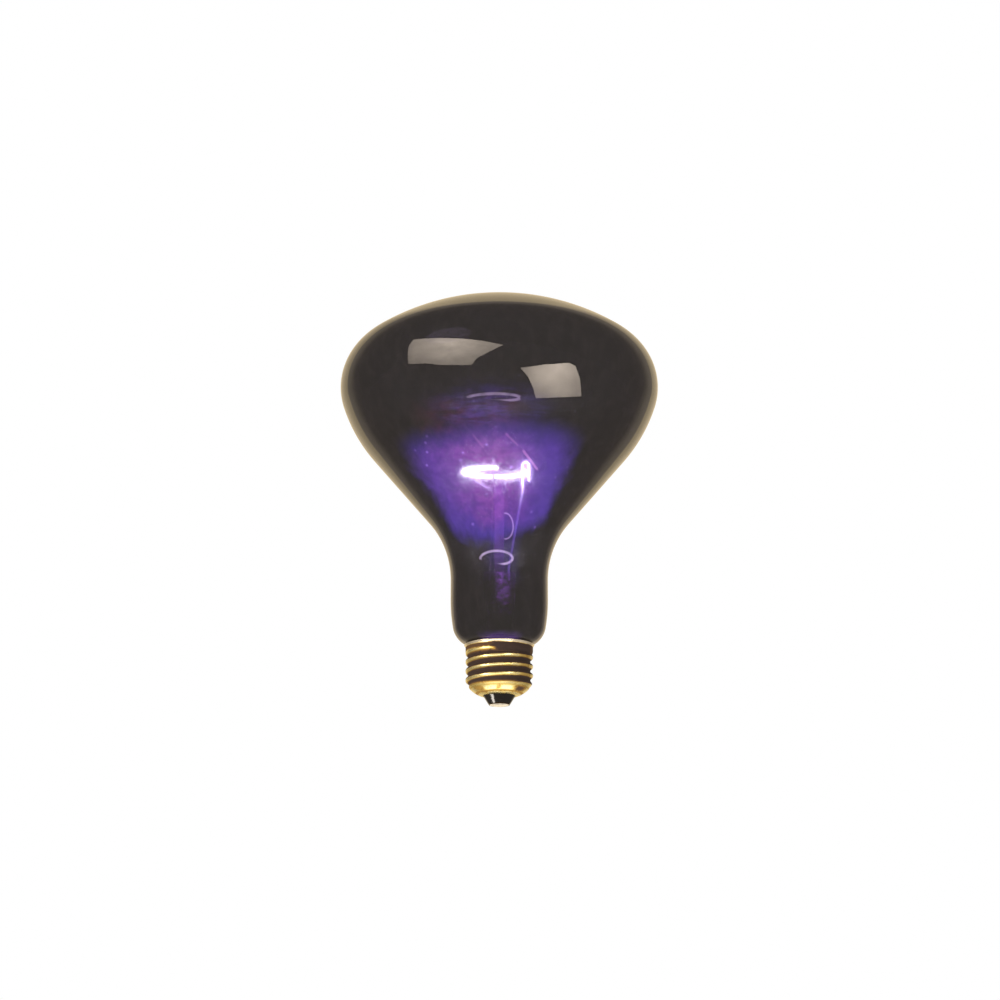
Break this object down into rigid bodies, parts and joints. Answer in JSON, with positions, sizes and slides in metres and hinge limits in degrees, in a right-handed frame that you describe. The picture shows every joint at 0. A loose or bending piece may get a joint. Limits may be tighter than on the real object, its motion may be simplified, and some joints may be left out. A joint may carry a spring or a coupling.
{
  "type": "incandescent light bulb",
  "caption": "Reflector-shaped filament lamp with a dark violet filter-glass bulb, glass mount with lit coil and a brass medium screw base.",
  "frame": {"origin": "middle of the flat tip of the solder on the centre contact, on the lamp's axis", "axes": "+Z along the lamp's axis from the contact to the dome, as the lamp stands in the picture; the camera looks along +Y with +X to its right"},
  "size_m": [0.127, 0.127, 0.164],
  "materials": {
    "violet_filter_glass": "smooth blown glass, nearly black, violet where light comes through",
    "clear_mount_glass": "clear drawn lead glass",
    "lit_tungsten": "coiled wire, white hot",
    "nickel_wire": "drawn nickel-plated wire",
    "copper_clad_seal_wire": "dull red copper cladding sealed in glass",
    "copper_wire": "drawn copper wire",
    "molybdenum_wire": "fine drawn wire",
    "shell_brass": "rolled bright brass with brown tarnish in the grooves",
    "black_base_glass": "black moulded glass, opaque and glossy",
    "contact_brass": "stamped brass",
    "tin_lead_solder": "bright solder, slightly wrinkled",
    "basing_cement": "matt fired cement"
  },
  "bodies": {
    "root": {"glass_envelope": "violet_filter_glass", "stem_flare": "clear_mount_glass", "exhaust_tube": "clear_mount_glass", "arbor_rod": "clear_mount_glass", "filament": "lit_tungsten", "inner_lead_right": "nickel_wire", "inner_lead_left": "nickel_wire", "seal_wire_right": "copper_clad_seal_wire", "seal_wire_left": "copper_clad_seal_wire", "outer_lead_centre": "copper_wire", "outer_lead_side": "copper_wire", "support_wire_1": "molybdenum_wire", "support_wire_2": "molybdenum_wire", "support_wire_3": "molybdenum_wire", "screw_shell": "shell_brass", "insulator": "black_base_glass", "centre_contact": "contact_brass", "centre_solder": "tin_lead_solder", "side_solder": "tin_lead_solder", "basing_cement": "basing_cement"}
  },
  "joints": []
}
